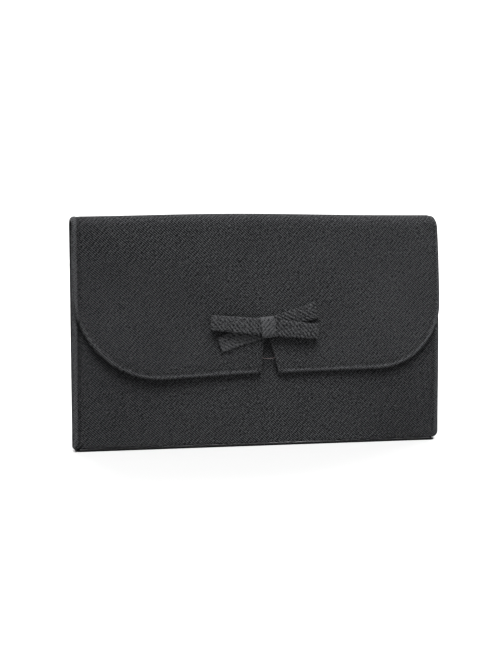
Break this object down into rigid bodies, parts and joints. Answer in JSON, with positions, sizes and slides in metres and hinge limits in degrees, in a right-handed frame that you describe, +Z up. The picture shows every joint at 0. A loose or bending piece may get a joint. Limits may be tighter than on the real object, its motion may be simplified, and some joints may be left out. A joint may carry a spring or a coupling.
{
  "type": "envelope clutch purse",
  "caption": "Envelope clutch purse in dark wool twill: stiffened panels on a narrow base, folded gussets, and a round-cornered, notched flap with a flat tailored bow.",
  "frame": {"origin": "centre of the base's flat underside, on the surface the purse stands on", "axes": "+X along the width, to the right seen from the front; the front and the bow face -Y; +Z up"},
  "size_m": [0.24, 0.021, 0.1484],
  "materials": {
    "wool_twill": "charcoal wool twill, matt, fine diagonal rib",
    "bow_twill": "the same twill cut on the cross grain, slightly lighter",
    "satin_lining": "black satin, soft sheen",
    "grey_board": "grey pulp board, matt",
    "interlining": "off-white needled interlining",
    "thread": "single pale thread",
    "closure_steel": "nickel-plated disc"
  },
  "bodies": {
    "back": {"back_cover": "wool_twill", "back_board": "grey_board", "back_lining": "satin_lining", "slip_pocket": "satin_lining", "back_binding_left": "wool_twill", "back_binding_right": "wool_twill", "base_cover": "wool_twill", "base_lining": "satin_lining"},
    "front": {"front_cover": "wool_twill", "front_board": "grey_board", "front_lining": "satin_lining", "front_keeper_disc": "closure_steel", "front_binding_left": "wool_twill", "front_binding_right": "wool_twill", "mouth_binding": "wool_twill"},
    "top": {"spine_cover": "wool_twill", "spine_interlining": "interlining", "spine_lining": "satin_lining", "spine_binding_left": "wool_twill", "spine_binding_right": "wool_twill"},
    "flap": {"flap_cover": "wool_twill", "flap_board": "grey_board", "flap_facing": "satin_lining", "flap_magnet_disc": "closure_steel", "flap_binding_left": "wool_twill", "flap_binding_right": "wool_twill", "notch_tack": "thread", "bow_knot": "bow_twill", "bow_loop_left": "bow_twill", "bow_loop_right": "bow_twill", "bow_tail_left": "bow_twill", "bow_tail_right": "bow_twill"},
    "rear_leaf_left": {"gusset_rear_left": "wool_twill", "gusset_rear_lining_left": "satin_lining"},
    "front_leaf_left": {"gusset_front_left": "wool_twill", "gusset_front_lining_left": "satin_lining"},
    "rear_leaf_right": {"gusset_rear_right": "wool_twill", "gusset_rear_lining_right": "satin_lining"},
    "front_leaf_right": {"gusset_front_right": "wool_twill", "gusset_front_lining_right": "satin_lining"}
  },
  "joints": [
    {"name": "top_fold", "type": "hinge", "parent": "back", "child": "top", "pos_m": [0, 0.00724, 0.14678], "axis": [-1, 0, 0], "range_deg": [0, 100]},
    {"name": "flap_fold", "type": "hinge", "parent": "top", "child": "flap", "pos_m": [0, -0.0068, 0.14638], "axis": [-1, 0, 0], "range_deg": [0, 100]},
    {"name": "front_swing", "type": "hinge", "parent": "back", "child": "front", "pos_m": [0, 0, 0.0022], "axis": [1, 0, 0], "range_deg": [0, 10]},
    {"name": "gusset_rear_fold_left", "type": "hinge", "parent": "back", "child": "rear_leaf_left", "pos_m": [-0.118, 0, 0.0022], "axis": [0, -0.0384, -0.9993], "range_deg": [0, 31.19]},
    {"name": "gusset_middle_fold_left", "type": "hinge", "parent": "rear_leaf_left", "child": "front_leaf_left", "pos_m": [-0.118, 0, 0.0022], "axis": [0.1713, 0.0095, 0.9852], "range_deg": [0, 62.95]},
    {"name": "gusset_rear_fold_right", "type": "hinge", "parent": "back", "child": "rear_leaf_right", "pos_m": [0.118, 0, 0.0022], "axis": [0, 0.0384, 0.9993], "range_deg": [0, 31.19]},
    {"name": "gusset_middle_fold_right", "type": "hinge", "parent": "rear_leaf_right", "child": "front_leaf_right", "pos_m": [0.118, 0, 0.0022], "axis": [0.1713, -0.0095, -0.9852], "range_deg": [0, 62.95]}
  ],
  "couplings": [
    {"joint": "flap_fold", "follows": "top_fold", "ratio": 1},
    {"joint": "front_swing", "follows": "top_fold", "ratio": 0.1},
    {"joint": "gusset_rear_fold_left", "follows": "top_fold", "ratio": 0.3119},
    {"joint": "gusset_middle_fold_left", "follows": "top_fold", "ratio": 0.62951},
    {"joint": "gusset_rear_fold_right", "follows": "top_fold", "ratio": 0.3119},
    {"joint": "gusset_middle_fold_right", "follows": "top_fold", "ratio": 0.62951}
  ]
}
